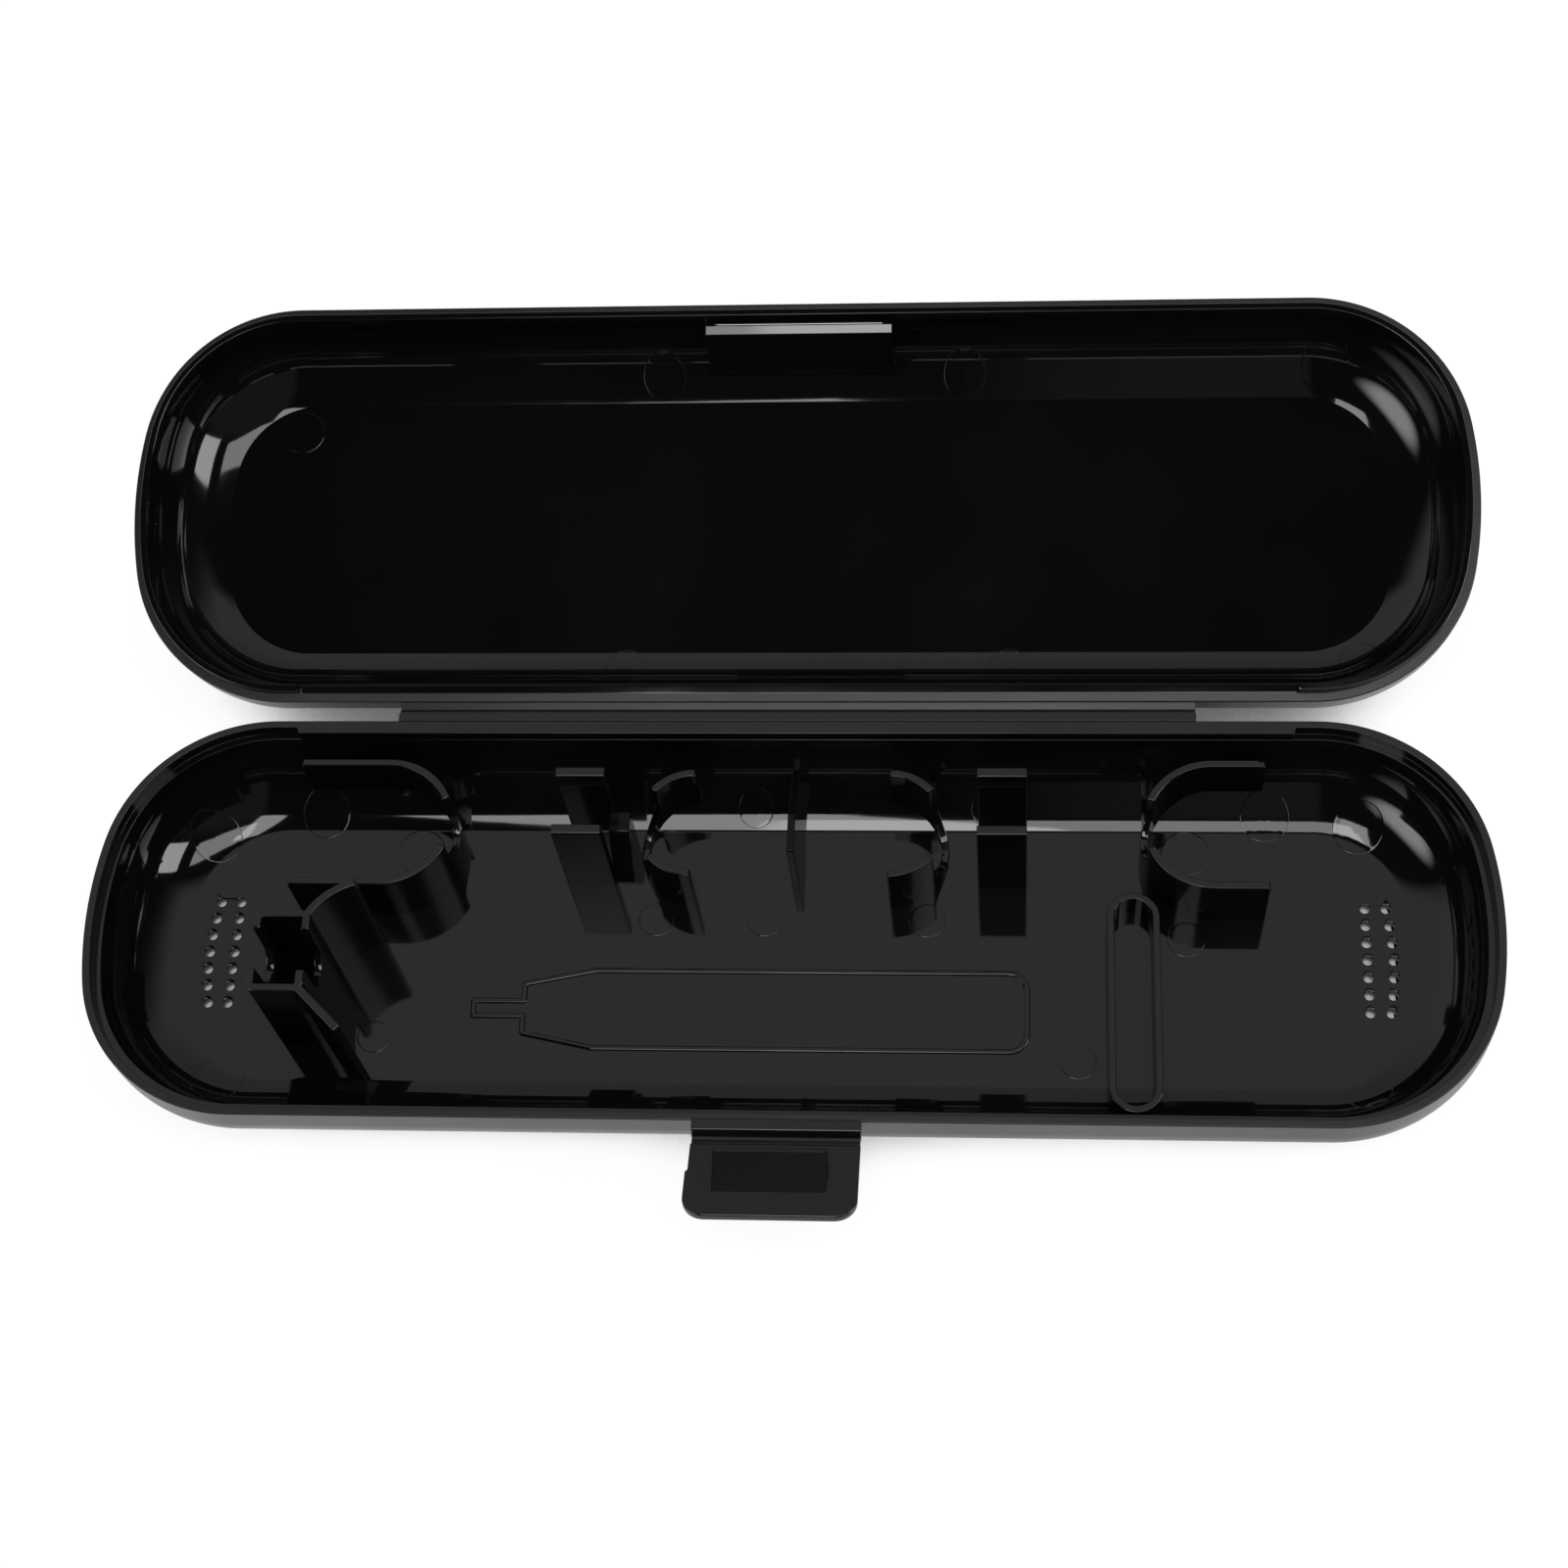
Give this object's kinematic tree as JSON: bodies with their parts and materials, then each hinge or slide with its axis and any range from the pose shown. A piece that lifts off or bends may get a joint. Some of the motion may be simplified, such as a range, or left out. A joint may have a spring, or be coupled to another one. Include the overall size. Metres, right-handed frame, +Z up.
{
  "type": "electric toothbrush travel case",
  "caption": "Open hard travel case for an electric toothbrush, with moulded holders for the handle and brush heads, a hinged lid and a folding latch.",
  "frame": {"origin": "centre of the tray's flat underside", "axes": "+X along the case towards the rest ring, +Y from the latch side to the hinge side, +Z up"},
  "size_m": [0.215, 0.1503, 0.0358],
  "materials": {
    "case_gloss_black": "polished black polypropylene",
    "latch_satin_black": "semi-gloss black polypropylene",
    "hinge_satin_black": "semi-gloss black polypropylene, bent thin"
  },
  "bodies": {
    "root": {"base_tray": "case_gloss_black", "base_hinge_leaf": "hinge_satin_black", "hinge_web": "hinge_satin_black", "brush_hook_left": "case_gloss_black", "brush_hook_right": "case_gloss_black", "head_cradle_left": "case_gloss_black", "head_cradle_right": "case_gloss_black", "center_fin": "case_gloss_black", "left_post_front": "case_gloss_black", "left_post_back": "case_gloss_black", "right_post_front": "case_gloss_black", "right_post_back": "case_gloss_black", "post_lug": "case_gloss_black", "handle_well": "case_gloss_black", "handle_wing_back": "case_gloss_black", "handle_wing_front": "case_gloss_black", "handle_rest_ring": "case_gloss_black", "handle_outline": "case_gloss_black", "latch_root": "latch_satin_black", "latch_web": "hinge_satin_black"},
    "lid": {"lid_shell": "case_gloss_black", "lid_hinge_leaf": "hinge_satin_black", "catch_pocket": "case_gloss_black"},
    "latch": {"latch_flap": "latch_satin_black", "latch_hook": "latch_satin_black"}
  },
  "joints": [
    {"name": "lid_hinge", "type": "hinge", "parent": "root", "child": "lid", "pos_m": [0, 0.0347, 0.017], "axis": [1, 0, 0], "range_deg": [-14, 164.4]},
    {"name": "latch_hinge", "type": "hinge", "parent": "root", "child": "latch", "pos_m": [0.0006, -0.0355, 0.01615], "axis": [-1, 0, 0], "range_deg": [-90, 70]}
  ]
}
